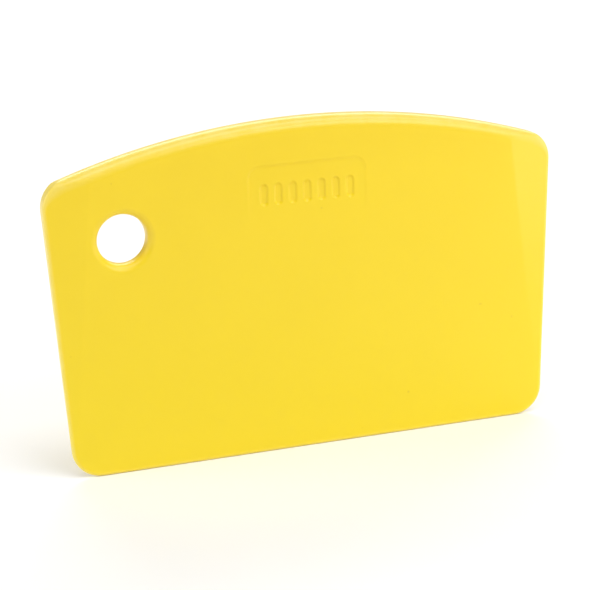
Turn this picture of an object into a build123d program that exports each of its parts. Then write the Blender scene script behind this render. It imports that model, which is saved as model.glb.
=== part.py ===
from build123d import *
import os

# One-piece hand scraper, moulded in one solid piece of plastic: a tapered plate with a thick arched grip
# along its top, a thin straight scraping edge along its bottom, bevelled flanks and a hanging hole.
#
# Frame, in millimetres: X runs along the scraping edge, Y through the thickness with the marked face
# towards -Y, and Z from the scraping edge up to the grip. The origin is the middle of the scraping edge.

os.makedirs("parts", exist_ok=True)

# Outline
TOP_WIDTH = 133.0  # flank to flank, where the arch would meet the straight flanks
BOTTOM_WIDTH = 126.0  # the same at the scraping edge
SHOULDER_HEIGHT = 74.0  # where the arch would meet the straight flanks
CROWN_HEIGHT = 85.6  # top of the arch
CORNER_RADIUS = 7.6

# Thickness
EDGE_THICKNESS = 1.5  # scraping edge
CROWN_THICKNESS = 7.8  # grip, at the top of the arch
FLANK_THICKNESS = 4.0  # outer end of a bevel, at the shoulder
BEVEL_WIDTH = 11.6  # bevel, at the shoulder

# Roundings
GRIP_ROUNDING = 3.0  # long edges of the grip
RIM_ROUNDING = 0.7  # every other edge, which makes the scraping edge almost half-round
HOLE_ROUNDING = 2.0

# Hanging hole
HOLE_DIAMETER = 12.5
HOLE_X = -47.2
HOLE_Z = 59.8

# Name plate: a shallow recess whose floor slopes less than the face, so it all but runs out at its
# lower end
PLATE_WIDTH = 30.6
PLATE_TOP = 74.5
PLATE_BOTTOM = 58.5
PLATE_TOP_DEPTH = 0.26
PLATE_BOTTOM_DEPTH = 0.06
PLATE_CORNER_RADIUS = 3.1

# Plain grooves in the plate
GROOVE_COUNT = 7
GROOVE_PITCH = 3.75
GROOVE_WIDTH = 1.8
GROOVE_LENGTH = 5.2
GROOVE_DEPTH = 0.35
GROOVE_MIDDLE_Z = 67.2

BLANK_MARGIN = 5.0  # how far the blank stands past the finished outline

half_top = TOP_WIDTH / 2
half_bottom = BOTTOM_WIDTH / 2
arch_rise = CROWN_HEIGHT - SHOULDER_HEIGHT
arch_radius = (half_top**2 + arch_rise**2) / (2 * arch_rise)
blank_height = CROWN_HEIGHT + BLANK_MARGIN
blank_half_width = half_top + BLANK_MARGIN


def half_thickness(height):
    """Half of the plate's thickness between its two sloping faces, at a height above the scraping edge."""
    return (EDGE_THICKNESS + (CROWN_THICKNESS - EDGE_THICKNESS) * height / CROWN_HEIGHT) / 2


def bevel_plane(side_x, side_y):
    """The plane of one bevel, facing outwards. It leaves the face at a line from the foot of the flank."""
    foot = Vector(side_x * half_bottom, side_y * half_thickness(0), 0)
    crease_y = side_y * half_thickness(SHOULDER_HEIGHT)
    crease = Vector(side_x * (half_top - BEVEL_WIDTH), crease_y, SHOULDER_HEIGHT)
    flank = Vector(side_x * half_top, side_y * FLANK_THICKNESS / 2, SHOULDER_HEIGHT)
    outwards = (crease - foot).cross(flank - foot) * side_x * side_y
    return Plane(origin=foot, z_dir=outwards)


# Section through the thickness, a wedge taller than the finished part
with BuildSketch(Plane.YZ) as wedge:
    with BuildLine():
        Polyline(
            (-half_thickness(0), 0),
            (half_thickness(0), 0),
            (half_thickness(blank_height), blank_height),
            (-half_thickness(blank_height), blank_height),
            close=True,
        )
    make_face()

# Outline seen from the front, with its four corners rounded
with BuildSketch(Plane.XZ) as outline:
    with BuildLine():
        Polyline(
            (-half_top, SHOULDER_HEIGHT),
            (-half_bottom, 0),
            (half_bottom, 0),
            (half_top, SHOULDER_HEIGHT),
        )
        ThreePointArc((half_top, SHOULDER_HEIGHT), (0, CROWN_HEIGHT), (-half_top, SHOULDER_HEIGHT))
    make_face()
    fillet(outline.vertices(), CORNER_RADIUS)

# The arch alone, as a disc that reaches past both flanks
with BuildSketch(Plane.XZ) as arch:
    with Locations((0, CROWN_HEIGHT - arch_radius)):
        Circle(arch_radius)

# Everything under the rounded grip: the wedge cut to the arch, with both long edges of the grip rounded
with BuildPart() as under_grip:
    extrude(wedge.sketch, amount=blank_half_width, both=True)
    extrude(arch.sketch, amount=CROWN_THICKNESS, both=True, mode=Mode.INTERSECT)
    fillet(under_grip.edges().filter_by(GeomType.ELLIPSE), GRIP_ROUNDING)

with BuildPart() as scraper_body:
    # Tapered plate
    extrude(wedge.sketch, amount=blank_half_width, both=True)
    extrude(outline.sketch, amount=CROWN_THICKNESS, both=True, mode=Mode.INTERSECT)

    # Bevels on both flanks of both faces
    for side_x in (-1, 1):
        for side_y in (-1, 1):
            split(bisect_by=bevel_plane(side_x, side_y), keep=Keep.BOTTOM)

    # Small rounding on every edge but the ones across the rim, then the large rounding of the grip
    fillet(scraper_body.edges().filter_by(Axis.Y, reverse=True), RIM_ROUNDING)
    add(under_grip.part, mode=Mode.INTERSECT)

    # Hanging hole, with rounded rims
    with Locations(Plane(origin=(HOLE_X, 0, HOLE_Z), z_dir=(0, -1, 0))):
        Hole(HOLE_DIAMETER / 2)
    fillet(scraper_body.edges(Select.LAST).filter_by(Axis.Y, reverse=True), HOLE_ROUNDING)

    # Name plate recess in the front face
    plate_height = PLATE_TOP - PLATE_BOTTOM
    floor_top = half_thickness(PLATE_TOP) - PLATE_TOP_DEPTH
    floor_bottom = half_thickness(PLATE_BOTTOM) - PLATE_BOTTOM_DEPTH
    floor_outwards = (0, -plate_height, floor_bottom - floor_top)
    plate_floor = Plane(origin=(0, -floor_top, PLATE_TOP), x_dir=(1, 0, 0), z_dir=floor_outwards)
    with BuildSketch(plate_floor):
        with Locations((0, -plate_height / 2)):
            RectangleRounded(PLATE_WIDTH, plate_height, PLATE_CORNER_RADIUS)
    extrude(amount=CROWN_THICKNESS, mode=Mode.SUBTRACT)

    # Plain upright grooves in the plate
    with BuildSketch(plate_floor):
        with Locations((0, GROOVE_MIDDLE_Z - PLATE_TOP)):
            with GridLocations(GROOVE_PITCH, 0, GROOVE_COUNT, 1):
                SlotOverall(GROOVE_LENGTH, GROOVE_WIDTH, rotation=90)
    extrude(amount=-GROOVE_DEPTH, mode=Mode.SUBTRACT)

scraper_body.part.label = "scraper_body"
export_step(scraper_body.part, "parts/scraper_body.step")
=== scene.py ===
import math

import bpy
import numpy as np
from mathutils import Matrix, Vector
from mathutils.geometry import delaunay_2d_cdt


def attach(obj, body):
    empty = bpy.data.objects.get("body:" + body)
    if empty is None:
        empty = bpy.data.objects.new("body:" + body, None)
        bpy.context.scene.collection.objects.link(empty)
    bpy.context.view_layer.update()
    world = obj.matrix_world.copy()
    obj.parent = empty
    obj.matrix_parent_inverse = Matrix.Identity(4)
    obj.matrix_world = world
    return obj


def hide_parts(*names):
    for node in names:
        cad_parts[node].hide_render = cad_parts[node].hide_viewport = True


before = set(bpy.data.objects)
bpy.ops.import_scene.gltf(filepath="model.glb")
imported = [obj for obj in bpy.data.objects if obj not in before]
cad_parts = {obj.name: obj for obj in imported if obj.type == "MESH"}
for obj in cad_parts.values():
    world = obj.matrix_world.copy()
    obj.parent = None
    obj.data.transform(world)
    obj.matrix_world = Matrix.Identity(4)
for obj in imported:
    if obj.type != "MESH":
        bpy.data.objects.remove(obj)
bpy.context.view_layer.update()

MM = 0.001

# A one-piece moulded hand scraper. One closed mesh, with the soft creases that a mould gives, stands for the
# CAD's one solid. Its two faces are half-thicknesses over the plan (x, z), on either side of the plane y = 0.

# The scraper's driving dimensions in millimetres, as the CAD part has them
TOP_WIDTH = 133.0
BOTTOM_WIDTH = 126.0
SHOULDER_HEIGHT = 74.0
CROWN_HEIGHT = 85.6
CORNER_RADIUS = 7.6
EDGE_THICKNESS = 1.5
CROWN_THICKNESS = 7.8
FLANK_THICKNESS = 4.0
BEVEL_WIDTH = 11.6
GRIP_ROUNDING = 3.0
RIM_ROUNDING = 0.7
HOLE_ROUNDING = 2.0
HOLE_DIAMETER = 12.5
HOLE_X = -47.2
HOLE_Z = 59.8
PLATE_WIDTH = 30.6
PLATE_TOP = 74.5
PLATE_BOTTOM = 58.5
PLATE_TOP_DEPTH = 0.26
PLATE_BOTTOM_DEPTH = 0.0  # the CAD keeps 0.06 here, too little to see
PLATE_CORNER_RADIUS = 3.1
GROOVE_COUNT = 7
GROOVE_PITCH = 3.75
GROOVE_WIDTH = 1.8
GROOVE_LENGTH = 5.2
GROOVE_DEPTH = 0.35
GROOVE_MIDDLE_Z = 67.2

# Softness that a mould gives, in millimetres
CREASE_SOFTNESS = 0.6  # how far to each side of a crease it turns
PLATE_WALL = 1.0  # width over which the recess's wall turns
GROOVE_WALL = 0.7

HOLE_WEAR = 0.3  # how rubbed the hole's edges are, as a share of the rim's

# How many steps the surface is divided into
ROUNDING_STEPS = 12  # across a rounded edge
RIM_STEPS = 4  # across the strip between the rim's two rounded edges
BORE_STEPS = 4
HOLE_STEPS = 96  # round the hole
WALL_STEPS = 6  # across a crease or a wall

# The longest steps along lines, in millimetres
SCRAPING_EDGE_STEP = 4.0
FLANK_STEP = 2.5
FOOT_STEP = 0.8  # round the lower corners
SHOULDER_STEP = 0.6  # round the upper corners
ARCH_STEP = 1.0
CREASE_STEP = 1.0
PLATE_STEP = 0.4
GROOVE_STEP = 0.3

# Rings inside the outline and the hole, in millimetres
FLANK_REACH = 1.0  # how far in the rounding's rings reach along the flanks and the scraping edge
GRIP_FACING = 0.9  # the rings reach over the whole grip rounding where the outline faces up this much
INNER_RINGS = (0.4, 1.1)  # how much further in the next rings are

# Staggered grid of points that fills the flat faces
GRID_SPACING = 3.0  # in millimetres
GRID_ROWS = 0.87  # distance between rows, as a share of the spacing
GRID_CLEARANCE = 0.6  # distance kept from every line, as a share of the spacing

SAME_POINT = 1e-6  # points closer than this are one, in millimetres


# ---------------------------------------------------------------- shape

half_top = TOP_WIDTH / 2
half_bottom = BOTTOM_WIDTH / 2
arch_rise = CROWN_HEIGHT - SHOULDER_HEIGHT
arch_radius = (half_top**2 + arch_rise**2) / (2 * arch_rise)
arch_centre = np.array([0.0, CROWN_HEIGHT - arch_radius])
plate_height = PLATE_TOP - PLATE_BOTTOM
plate_middle = (PLATE_TOP + PLATE_BOTTOM) / 2

# Slopes, as half-thickness per millimetre: a face's with height, a bevel's outwards and with height
face_slope = (CROWN_THICKNESS - EDGE_THICKNESS) / 2 / CROWN_HEIGHT
shoulder_half = EDGE_THICKNESS / 2 + face_slope * SHOULDER_HEIGHT
bevel_fall = (shoulder_half - FLANK_THICKNESS / 2) / BEVEL_WIDTH
flank_rise = FLANK_THICKNESS / 2 - EDGE_THICKNESS / 2
bevel_rise = (flank_rise + bevel_fall * (half_top - half_bottom)) / SHOULDER_HEIGHT


def fall(inset, radius):
    """How far an edge rounded to a radius drops, at a distance inside the edge."""
    return radius - np.sqrt(radius**2 - (radius - np.minimum(inset, radius)) ** 2)


def soft_min(a, b, width):
    """The smaller of two values, blended where they are within a width of each other."""
    share = np.clip(0.5 + 0.5 * (b - a) / width, 0, 1)
    return b + (a - b) * share - width * share * (1 - share)


def back_face(x, z, rim_fall=0.0):
    """Half-thickness of the plate: sloping face, rounded grip and bevel, `rim_fall` lower near the rim."""
    inside_arch = np.maximum(arch_radius - np.hypot(x, z - arch_centre[1]), 0)
    plain = EDGE_THICKNESS / 2 + face_slope * z - np.maximum(fall(inside_arch, GRIP_ROUNDING), rim_fall)
    bevel = EDGE_THICKNESS / 2 + bevel_rise * z - bevel_fall * (np.abs(x) - half_bottom) - rim_fall
    return soft_min(plain, bevel, bevel_fall * CREASE_SOFTNESS)


def crease_x(z, shift):
    """Where the crease between face and bevel is at height z, shifted outwards."""
    return half_bottom + (bevel_rise - face_slope) / bevel_fall * z + shift


def smooth_step(value):
    """From 0 to 1, level at both ends."""
    t = np.clip(value, 0, 1)
    return t * t * (3 - 2 * t)


def plate_distance(x, z):
    """Distance outside the name plate's rounded rectangle, negative inside."""
    across = np.abs(x) - (PLATE_WIDTH / 2 - PLATE_CORNER_RADIUS)
    along = np.abs(z - plate_middle) - (plate_height / 2 - PLATE_CORNER_RADIUS)
    outside = np.hypot(np.maximum(across, 0), np.maximum(along, 0))
    return outside + np.minimum(np.maximum(across, along), 0) - PLATE_CORNER_RADIUS


def groove_distance(x, z):
    """Distance outside the nearest groove's capsule, negative inside."""
    last = (GROOVE_COUNT - 1) / 2
    middle = np.clip(np.round(x / GROOVE_PITCH), -last, last) * GROOVE_PITCH
    reach = (GROOVE_LENGTH - GROOVE_WIDTH) / 2
    along = np.maximum(np.abs(z - GROOVE_MIDDLE_Z) - reach, 0)
    return np.hypot(x - middle, along) - GROOVE_WIDTH / 2


def front_face(x, z, rim_fall=0.0):
    """Half-thickness on the marked side, with the plate's recess and the grooves in it."""
    share = np.clip((z - PLATE_BOTTOM) / plate_height, 0, 1)
    depth = PLATE_BOTTOM_DEPTH + (PLATE_TOP_DEPTH - PLATE_BOTTOM_DEPTH) * share
    in_plate = smooth_step(0.5 - plate_distance(x, z) / PLATE_WALL)
    in_groove = smooth_step(0.5 - groove_distance(x, z) / GROOVE_WALL)
    return back_face(x, z, rim_fall) - depth * in_plate - GROOVE_DEPTH * in_groove


def arc(centre, radius, start, end, step):
    """Points (x, z, outward x, outward z) along an arc, angles in radians, without its last point."""
    count = max(3, math.ceil(abs(end - start) * radius / step))
    angles = start + (end - start) * np.arange(count) / count
    normal = np.column_stack([np.cos(angles), np.sin(angles)])
    return np.hstack([np.asarray(centre) + radius * normal, normal])


def line(start, end, normal, step):
    """Points along a straight side, without its last point."""
    start, end = np.asarray(start), np.asarray(end)
    count = max(1, math.ceil(np.linalg.norm(end - start) / step))
    share = (np.arange(count) / count)[:, None]
    return np.hstack([start + (end - start) * share, np.tile(normal, (count, 1))])


def outline():
    """The closed outline, anticlockwise as seen from the front: (x, z, outward x, outward z)."""
    foot, shoulder = np.array([half_bottom, 0.0]), np.array([half_top, SHOULDER_HEIGHT])
    up = (shoulder - foot) / np.linalg.norm(shoulder - foot)
    outwards = np.array([up[1], -up[0]])
    low_centre = foot - CORNER_RADIUS * outwards
    low_centre = low_centre + up * (CORNER_RADIUS - low_centre[1]) / up[1]
    # The upper corner's centre is a corner radius inside both the flank and the arch
    start = foot - CORNER_RADIUS * outwards - arch_centre
    along = start @ up
    reach = math.sqrt(along**2 - start @ start + (arch_radius - CORNER_RADIUS) ** 2) - along
    high_centre = arch_centre + start + reach * up
    flank_angle = math.atan2(outwards[1], outwards[0])
    arch_angle = math.atan2(*(high_centre - arch_centre)[::-1])
    right_foot = low_centre + CORNER_RADIUS * outwards
    right_shoulder = high_centre + CORNER_RADIUS * outwards
    flip = np.array([-1.0, 1.0])
    left_angle = math.pi - flank_angle
    down = -math.pi / 2
    return np.vstack([
        line((-low_centre[0], 0), (low_centre[0], 0), (0, -1), SCRAPING_EDGE_STEP),
        arc(low_centre, CORNER_RADIUS, down, flank_angle, FOOT_STEP),
        line(right_foot, right_shoulder, outwards, FLANK_STEP),
        arc(high_centre, CORNER_RADIUS, flank_angle, arch_angle, SHOULDER_STEP),
        arc(arch_centre, arch_radius, arch_angle, math.pi - arch_angle, ARCH_STEP),
        arc(high_centre * flip, CORNER_RADIUS, math.pi - arch_angle, left_angle, SHOULDER_STEP),
        line(right_shoulder * flip, right_foot * flip, outwards * flip, FLANK_STEP),
        arc(low_centre * flip, CORNER_RADIUS, left_angle, 2 * math.pi + down, FOOT_STEP),
    ])


def capsule(x, z, grow):
    """A groove's outline, grown by `grow`."""
    radius, reach = GROOVE_WIDTH / 2 + grow, (GROOVE_LENGTH - GROOVE_WIDTH) / 2
    top = arc((x, z + reach), radius, 0, math.pi, GROOVE_STEP)
    bottom = arc((x, z - reach), radius, math.pi, 2 * math.pi, GROOVE_STEP)
    return np.vstack([top, bottom])[:, :2]


def rounded_rectangle(grow):
    """The name plate's outline, grown by `grow`."""
    radius = PLATE_CORNER_RADIUS + grow
    x, z = PLATE_WIDTH / 2 - PLATE_CORNER_RADIUS, plate_height / 2 - PLATE_CORNER_RADIUS
    low, high = plate_middle - z, plate_middle + z
    corners = [(x, high), (-x, high), (-x, low), (x, low)]
    arcs = []
    for k, corner in enumerate(corners):
        arcs.append(arc(corner, radius, k * math.pi / 2, (k + 1) * math.pi / 2, PLATE_STEP))
    return np.vstack(arcs)[:, :2]


# ---------------------------------------------------------------- mesh

class Shell:
    """Vertices with an edge-wear weight, and faces over them."""

    def __init__(self):
        self.points, self.wear, self.faces = [], [], []

    def add(self, x, y, z, wear=0.0):
        first = len(self.points)
        self.points += list(zip(x, y, z))
        self.wear += [wear] * len(x)
        return np.arange(first, first + len(x))

    def band(self, lower, upper, flip):
        """Quads between two closed loops of vertices."""
        for a, b, c, d in zip(lower, np.roll(lower, -1), np.roll(upper, -1), upper):
            self.faces.append((a, b, c, d) if flip else (d, c, b, a))


def edge_loops(shell, edge, radius, steps, wear=1.0, flip=False):
    """Both rounded edges and the strip between them, around the outline or the hole.
    An edge is its points, the direction out of the material at each, and how far in its rings reach.
    Returns the loops of vertices where the two faces start."""
    base, outward, reach = edge
    loops = []
    for side, face, turns in ((-1, front_face, (1, 0)), (1, back_face, (0, 1))):
        for share in np.linspace(*turns, ROUNDING_STEPS + 1):
            inset = reach * (1 - math.cos(share * math.pi / 2))
            x, z = (base - inset[:, None] * outward).T
            y = side * face(x, z, fall(inset, radius))
            loops.append(shell.add(x, y, z, wear * math.cos(share * math.pi / 2)))
        if side < 0:
            x, z = base.T
            low, high = -front_face(x, z, radius), back_face(x, z, radius)
            for share in np.linspace(0, 1, steps + 1)[1:-1]:
                loops.append(shell.add(x, low + (high - low) * share, z, wear))
    for lower, upper in zip(loops, loops[1:]):
        shell.band(lower, upper, flip)
    return loops[0], loops[-1]


def creases(limit):
    """Open lines along the creases, in steps across their rounded width, inside a closed line."""
    heights = np.arange(0, CROWN_HEIGHT, CREASE_STEP)
    for side in (-1, 1):
        for shift in np.linspace(-CREASE_SOFTNESS, CREASE_SOFTNESS, WALL_STEPS + 1):
            points = np.column_stack([side * crease_x(heights, shift), heights])
            yield points[[inside(limit, point) for point in points]]


def plan_lines(marked, edges):
    """Every line that one face's triangles keep to, inside its edges, as (points, closed)."""
    lines = []
    for base, outward, reach in edges:
        lines += [(base - (reach + further)[:, None] * outward, True) for further in INNER_RINGS]
    lines += [(points, False) for points in creases(lines[0][0])]
    if marked:
        for share in np.linspace(-0.5, 0.5, WALL_STEPS + 1):
            lines.append((rounded_rectangle(share * PLATE_WALL), True))
            for k in range(GROOVE_COUNT):
                x = (k - (GROOVE_COUNT - 1) / 2) * GROOVE_PITCH
                lines.append((capsule(x, GROOVE_MIDDLE_Z, share * GROOVE_WALL), True))
    return lines


def filling(taken):
    """Points of a staggered grid that are clear of the points taken, so that the triangles stay even."""
    found = []
    for row, z in enumerate(np.arange(GRID_SPACING, CROWN_HEIGHT, GRID_SPACING * GRID_ROWS)):
        shift = GRID_SPACING / 2 * (row % 2)
        for x in np.arange(-half_top + shift, half_top, GRID_SPACING):
            if np.min(np.hypot(*(taken - (x, z)).T)) > GRID_SPACING * GRID_CLEARANCE:
                found.append((x, z))
    return np.array(found)


def add_face(shell, side, face, rim_loop, hole_loop, lines):
    """Triangles over one face, from its rounded outline to the rounded hole, with edges along every line."""
    made = np.array(shell.points)[:, [0, 2]]
    rim, hole = made[rim_loop], made[hole_loop]
    known = [*rim_loop, *hole_loop]
    plan = [rim, hole]
    edges = closed_edges(0, len(rim)) + closed_edges(len(rim), len(hole))
    first = len(known)
    for points, closed in lines:
        plan.append(points)
        edges += closed_edges(first, len(points)) if closed else open_edges(first, len(points))
        first += len(points)
    plan.append(filling(np.vstack(plan)))
    plan = [Vector(point) for point in np.vstack(plan)]
    places, _, triangles, origins, _, _ = delaunay_2d_cdt(plan, edges, [], 0, SAME_POINT)
    places = np.array(places)
    middles = [places[list(triangle)].mean(axis=0) for triangle in triangles]
    triangles = [t for t, m in zip(triangles, middles) if inside(rim, m) and not inside(hole, m)]
    # The loops' own vertices are used again, and new ones are made only where a kept triangle needs them
    index = {k: known[min(o)] for k, o in enumerate(origins) if o and min(o) < len(known)}
    new = sorted({k for triangle in triangles for k in triangle} - set(index))
    x, z = places[new].T
    index.update(zip(new, shell.add(x, side * face(x, z), z)))
    for triangle in triangles:
        corners = tuple(index[i] for i in triangle)
        shell.faces.append(corners if side < 0 else corners[::-1])


def closed_edges(first, count):
    """Edges of a closed line whose vertices start at `first`."""
    return [(first + k, first + (k + 1) % count) for k in range(count)]


def open_edges(first, count):
    """Edges of an open line whose vertices start at `first`."""
    return [(first + k, first + k + 1) for k in range(count - 1)]


def inside(polygon, point):
    """Whether a point is inside a closed polygon, by counting crossings."""
    x, z = point
    a, b = polygon, np.roll(polygon, -1, axis=0)
    spans = (a[:, 1] > z) != (b[:, 1] > z)
    a, b = a[spans], b[spans]
    crossing = a[:, 0] + (z - a[:, 1]) * (b[:, 0] - a[:, 0]) / (b[:, 1] - a[:, 1])
    return np.count_nonzero(crossing > x) % 2 == 1


def set_normals(mesh):
    """Smooth normals weighted by face area, so that a flat face stays flat up to its rounded edges."""
    normals = np.zeros((len(mesh.vertices), 3))
    for polygon in mesh.polygons:
        normals[list(polygon.vertices)] += np.array(polygon.normal) * polygon.area
    normals /= np.linalg.norm(normals, axis=1)[:, None]
    mesh.shade_smooth()
    mesh.normals_split_custom_set_from_vertices([tuple(n) for n in normals])


def scraper():
    """The whole body as one closed mesh."""
    shell = Shell()
    rim = outline()
    reach = FLANK_REACH + (GRIP_ROUNDING - FLANK_REACH) * smooth_step(rim[:, 3] / GRIP_FACING)
    rim = (rim[:, :2], rim[:, 2:], reach)
    rim_front, rim_back = edge_loops(shell, rim, RIM_ROUNDING, RIM_STEPS)

    angles = np.linspace(0, 2 * math.pi, HOLE_STEPS, endpoint=False)
    spokes = np.column_stack([np.cos(angles), np.sin(angles)])
    bore = np.array([HOLE_X, HOLE_Z]) + HOLE_DIAMETER / 2 * spokes
    hole = (bore, -spokes, np.full(HOLE_STEPS, HOLE_ROUNDING))
    hole_front, hole_back = edge_loops(shell, hole, HOLE_ROUNDING, BORE_STEPS, HOLE_WEAR, flip=True)

    add_face(shell, -1, front_face, rim_front, hole_front, plan_lines(True, (rim, hole)))
    add_face(shell, 1, back_face, rim_back, hole_back, plan_lines(False, (rim, hole)))

    mesh = bpy.data.meshes.new("scraper_shell")
    mesh.from_pydata([Vector(p) * MM for p in shell.points], [], [[int(i) for i in f] for f in shell.faces])
    set_normals(mesh)
    wear = mesh.attributes.new("edge_wear", "FLOAT", "POINT")
    wear.data.foreach_set("value", np.array(shell.wear, np.float32))
    piece = bpy.data.objects.new("scraper_shell", mesh)
    bpy.context.scene.collection.objects.link(piece)
    return piece


# ---------------------------------------------------------------- materials

# The plastic's colours, as linear red, green and blue
DEEP_CLOUD = (0.82, 0.578, 0.004)
PALE_CLOUD = (0.845, 0.601, 0.006)
# Painted light: the colour the plastic is painted towards the scraping edge, paler to offset the shade near
# the floor
PAINTED_LIGHT_LOW = (0.86, 0.655, 0.009)
MOTTLE = (0.89, 0.68, 0.01)
SPECK = (0.62, 0.40, 0.02)
RUBBED = (0.94, 0.83, 0.36)

BLACK = (0, 0, 0)
WHITE = (1, 1, 1)


class Shading:
    """The nodes of one material."""

    def __init__(self, name):
        self.material = bpy.data.materials.new(name)
        self.material.use_nodes = True
        self.nodes = self.material.node_tree.nodes
        self.shader = self.nodes["Principled BSDF"]
        self.place = self.nodes.new("ShaderNodeTexCoord").outputs["Object"]

    def feed(self, socket, value):
        """Link an output to a socket, or set the socket to a number or colour."""
        if isinstance(value, bpy.types.NodeSocket):
            self.material.node_tree.links.new(value, socket)
        else:
            socket.default_value = value

    def noise(self, scale, detail, roughness=0.5):
        node = self.nodes.new("ShaderNodeTexNoise")
        node.inputs["Scale"].default_value = scale
        node.inputs["Detail"].default_value = detail
        node.inputs["Roughness"].default_value = roughness
        self.feed(node.inputs["Vector"], self.place)
        return node.outputs["Fac"]

    def ramp(self, value, first, second):
        """Blend from one (position, colour) to another."""
        node = self.nodes.new("ShaderNodeValToRGB")
        for element, (position, colour) in zip(node.color_ramp.elements, (first, second)):
            element.position = position
            element.color = (*colour, 1)
        self.feed(node.inputs["Fac"], value)
        return node.outputs["Color"]

    def mix(self, factor, first, colour):
        """Blend from a colour output to a plain colour."""
        node = self.nodes.new("ShaderNodeMix")
        node.data_type = "RGBA"
        for name, value in (("Factor", factor), ("A", first), ("B", (*colour, 1))):
            self.feed(next(s for s in node.inputs if s.name == name and s.enabled), value)
        return next(s for s in node.outputs if s.enabled)

    def maths(self, operation, first, second):
        node = self.nodes.new("ShaderNodeMath")
        node.operation = operation
        self.feed(node.inputs[0], first)
        self.feed(node.inputs[1], second)
        return node.outputs["Value"]

    def height_share(self, zero_at, one_at):
        """A value that goes from 0 at one height to 1 at another, in metres."""
        height = self.nodes.new("ShaderNodeSeparateXYZ")
        self.feed(height.inputs["Vector"], self.place)
        node = self.nodes.new("ShaderNodeMapRange")
        node.inputs["From Min"].default_value = zero_at
        node.inputs["From Max"].default_value = one_at
        self.feed(node.inputs["Value"], height.outputs["Z"])
        return node.outputs["Result"]

    def bump(self, height, strength, distance):
        node = self.nodes.new("ShaderNodeBump")
        node.inputs["Strength"].default_value = strength
        node.inputs["Distance"].default_value = distance
        self.feed(node.inputs["Height"], height)
        return node


def plastic_colour(look, scuff):
    """Faint flow clouds with painted light, paler towards the scraping edge to offset the shade near the
    floor, then mottling, small specks and rubbed edges.
    """
    clouds = look.ramp(look.noise(38, 3), (0.3, DEEP_CLOUD), (0.7, PALE_CLOUD))
    # Painted light: from the clouds at the crown to a paler colour at the scraping edge, against the shade
    # near the floor
    clouds_and_painted_light = look.mix(look.height_share(CROWN_HEIGHT * MM, 0), clouds, PAINTED_LIGHT_LOW)
    mottled = look.mix(look.maths("MULTIPLY", look.noise(900, 2), 0.12), clouds_and_painted_light, MOTTLE)
    specks = look.ramp(look.noise(420, 1), (0.16, WHITE), (0.2, BLACK))
    speckled = look.mix(look.maths("MULTIPLY", specks, 0.35), mottled, SPECK)
    return look.mix(look.maths("MULTIPLY", scuff, 0.7), speckled, RUBBED)


def yellow_plastic():
    """Satin moulded polypropylene, with a fine grain on slow waves and rougher rubbed edges."""
    look = Shading("yellow_plastic")
    worn = look.nodes.new("ShaderNodeAttribute")
    worn.attribute_name = "edge_wear"
    scuff = look.maths("MULTIPLY", worn.outputs["Fac"], look.noise(260, 4, 0.7))
    look.feed(look.shader.inputs["Base Color"], plastic_colour(look, scuff))

    rough = look.maths("ADD", 0.26, look.maths("MULTIPLY", look.noise(600, 3), 0.08))
    rough = look.maths("ADD", rough, look.maths("MULTIPLY", scuff, 0.10))
    look.feed(look.shader.inputs["Roughness"], rough)

    grain = look.bump(look.noise(3200, 3), 0.25, 0.03 * MM)
    waves = look.bump(look.noise(55, 2), 0.25, 0.2 * MM)
    look.feed(waves.inputs["Normal"], grain.outputs["Normal"])
    look.feed(look.shader.inputs["Normal"], waves.outputs["Normal"])
    look.shader.inputs["IOR"].default_value = 1.48
    return look.material


def pale_floor():
    """Plain matt white."""
    material = bpy.data.materials.new("pale_floor")
    material.use_nodes = True
    shader = material.node_tree.nodes["Principled BSDF"]
    shader.inputs["Base Color"].default_value = (0.94, 0.94, 0.94, 1)
    shader.inputs["Roughness"].default_value = 0.9
    shader.inputs["Specular IOR Level"].default_value = 0.1
    return material


# ---------------------------------------------------------------- studio

FLOOR_HALF_SIDE = 4.0
LIGHT_TARGET = Vector((0, 0, 0.04))  # about the middle of the scraper


def add_floor(material):
    """A square floor, level with the scraping edge."""
    mesh = bpy.data.meshes.new("floor")
    square = ((-1, -1), (1, -1), (1, 1), (-1, 1))
    corners = [(x * FLOOR_HALF_SIDE, y * FLOOR_HALF_SIDE, 0) for x, y in square]
    mesh.from_pydata(corners, [], [(0, 1, 2, 3)])
    floor = bpy.data.objects.new("floor", mesh)
    bpy.context.scene.collection.objects.link(floor)
    floor.data.materials.append(material)


def direction(azimuth, elevation):
    """Unit vector from the object to a camera or a light. Azimuth 0 is in front, positive to the right."""
    a, e = math.radians(azimuth), math.radians(elevation)
    return Vector((math.sin(a) * math.cos(e), -math.cos(a) * math.cos(e), math.sin(e)))


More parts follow.
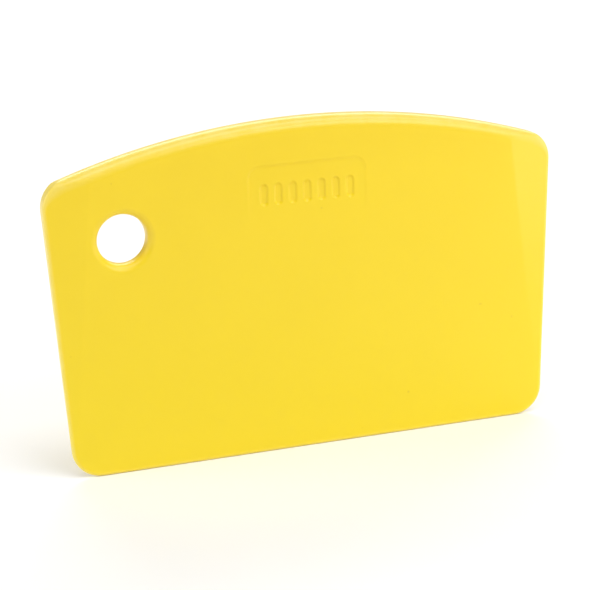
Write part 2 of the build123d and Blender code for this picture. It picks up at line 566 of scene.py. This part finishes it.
def add_softbox(name, azimuth, elevation, distance, size, power):
    """A rectangular light that faces the scraper, with its size in metres and its power in watts."""
    light = bpy.data.lights.new(name, "AREA")
    light.shape = "RECTANGLE"
    light.size, light.size_y = size
    light.energy = power
    lamp = bpy.data.objects.new(name, light)
    bpy.context.scene.collection.objects.link(lamp)
    towards = direction(azimuth, elevation)
    lamp.location = LIGHT_TARGET + towards * distance
    lamp.rotation_euler = towards.to_track_quat("Z", "Y").to_euler()


def add_camera(azimuth, elevation, roll, distance, target, lens):
    """The camera, aimed at a target and then rolled about its own axis."""
    data = bpy.data.cameras.new("camera")
    data.lens = lens
    data.clip_start, data.clip_end = 0.01, 50
    camera = bpy.data.objects.new("camera", data)
    bpy.context.scene.collection.objects.link(camera)
    towards = direction(azimuth, elevation)
    turned = towards.to_track_quat("Z", "Y").to_matrix() @ Matrix.Rotation(math.radians(roll), 3, "Z")
    camera.matrix_world = Matrix.Translation(Vector(target) + towards * distance) @ turned.to_4x4()
    bpy.context.scene.camera = camera


def add_world(colour, strength):
    """Even light from all round."""
    world = bpy.data.worlds.new("studio")
    world.use_nodes = True
    background = world.node_tree.nodes["Background"]
    background.inputs["Color"].default_value = (*colour, 1)
    background.inputs["Strength"].default_value = strength
    bpy.context.scene.world = world


camera_target = (-0.00354, 0, 0.0401)
add_camera(azimuth=-17.3, elevation=14.69, roll=-2.7, distance=0.5069, target=camera_target, lens=122.61)
bpy.context.scene.view_settings.view_transform = "Standard"
add_world((1, 1, 1), 0.2)
add_softbox("overhead", azimuth=8, elevation=70, distance=2.2, size=(2.8, 0.9), power=29)
add_softbox("key", azimuth=30, elevation=30, distance=2.2, size=(1.6, 1.0), power=18.5)
add_softbox("behind", azimuth=158, elevation=38, distance=2.4, size=(2.4, 0.8), power=30)
add_softbox("left", azimuth=-97, elevation=18, distance=2.2, size=(1.6, 1.2), power=21)
add_softbox("right_card", azimuth=56, elevation=-2, distance=0.24, size=(0.12, 0.12), power=0.072)
add_floor(pale_floor())

piece = scraper()
piece.data.materials.append(yellow_plastic())
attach(piece, "root")
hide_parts("scraper_body")
